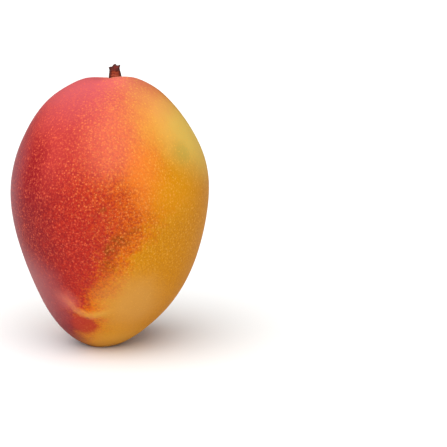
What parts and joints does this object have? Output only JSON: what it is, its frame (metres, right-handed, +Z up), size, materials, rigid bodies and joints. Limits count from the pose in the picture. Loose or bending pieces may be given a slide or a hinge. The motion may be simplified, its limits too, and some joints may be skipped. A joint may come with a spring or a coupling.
{
  "type": "mango",
  "caption": "Whole ripe mango with a small beak low on one side and a short dry stem stub, standing on a small flat spot at its narrow end.",
  "frame": {"origin": "centre of the small flat spot at the fruit's narrow end, on the surface that it stands on", "axes": "+Z up from the narrow end to the stem; -Y towards the side with the beak; X across the cheeks"},
  "size_m": [0.0869, 0.0948, 0.1254],
  "materials": {
    "mango_skin": "satin",
    "stem_wood": "matte"
  },
  "bodies": {
    "root": {"fruit": "mango_skin", "stem_stub": "stem_wood"}
  },
  "joints": []
}
